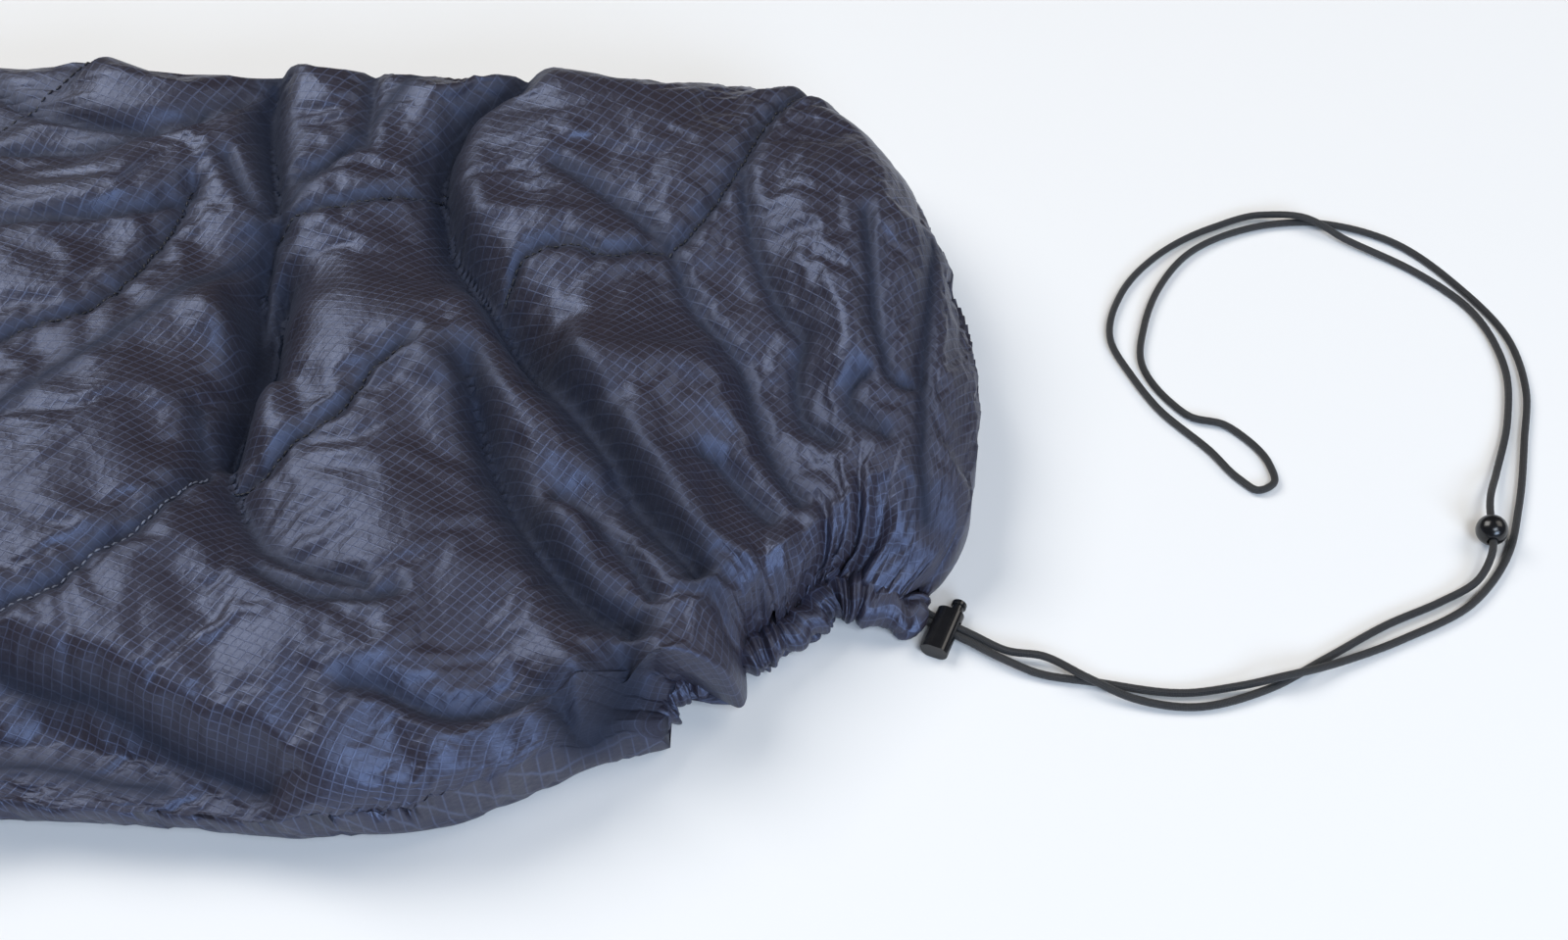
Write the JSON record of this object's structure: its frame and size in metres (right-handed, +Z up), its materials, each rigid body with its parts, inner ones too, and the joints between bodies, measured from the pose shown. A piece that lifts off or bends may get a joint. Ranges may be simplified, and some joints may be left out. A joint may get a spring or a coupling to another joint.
{
  "type": "camp quilt",
  "caption": "Padded camp quilt laid out flat: stitched chambers across a tapered tube, foot end gathered by a drawcord that carries a cord lock and a ball bead.",
  "frame": {"origin": "on the floor under the middle of the quilt's own box, the free cord left out", "axes": "+X towards the gathered foot, -X towards the head, +Y towards the closed far edge, +Z up"},
  "size_m": [2.2253, 0.6099, 0.082],
  "materials": {
    "ripstop_shell": "satin",
    "lining_taffeta": "satin",
    "insulation_fill": "matte",
    "baffle_mesh": "matte",
    "braided_cord": "matte",
    "black_plastic": "gloss",
    "spring_steel": "satin"
  },
  "bodies": {
    "quilt": {"outer_shell": "ripstop_shell", "lining": "lining_taffeta", "insulation_01": "insulation_fill", "insulation_02": "insulation_fill", "insulation_03": "insulation_fill", "insulation_04": "insulation_fill", "insulation_05": "insulation_fill", "insulation_06": "insulation_fill", "insulation_07": "insulation_fill", "insulation_08": "insulation_fill", "insulation_09": "insulation_fill", "insulation_10": "insulation_fill", "insulation_11": "insulation_fill", "insulation_12": "insulation_fill", "insulation_13": "insulation_fill", "insulation_14": "insulation_fill", "baffle_wall_01": "baffle_mesh", "baffle_wall_02": "baffle_mesh", "baffle_wall_03": "baffle_mesh", "baffle_wall_04": "baffle_mesh", "baffle_wall_05": "baffle_mesh", "baffle_wall_06": "baffle_mesh", "baffle_wall_07": "baffle_mesh", "baffle_wall_08": "baffle_mesh", "baffle_wall_09": "baffle_mesh", "baffle_wall_10": "baffle_mesh", "baffle_wall_11": "baffle_mesh", "baffle_wall_12": "baffle_mesh", "baffle_wall_13": "baffle_mesh", "foot_hem_channel": "ripstop_shell", "drawcord_in_hem": "braided_cord", "drawcord": "braided_cord"},
    "lock": {"cord_lock_barrel": "black_plastic", "cord_lock_spring": "spring_steel"},
    "plunger": {"cord_lock_plunger": "black_plastic"},
    "bead": {"ball_bead": "black_plastic"}
  },
  "joints": [
    {"name": "lock_slide", "type": "slide", "parent": "quilt", "child": "lock", "axis": [0.8572, -0.515, 0], "range_m": [0, 0.012]},
    {"name": "plunger_press", "type": "slide", "parent": "lock", "child": "plunger", "axis": [-0.3746, -0.9272, 0], "range_m": [0, 0.0028], "stiffness_N_per_m": 400, "deforming": ["cord_lock_spring"]},
    {"name": "bead_slide", "type": "slide", "parent": "quilt", "child": "bead", "axis": [0.1736, 0.9848, 0], "range_m": [-0.003, 0.008]}
  ]
}
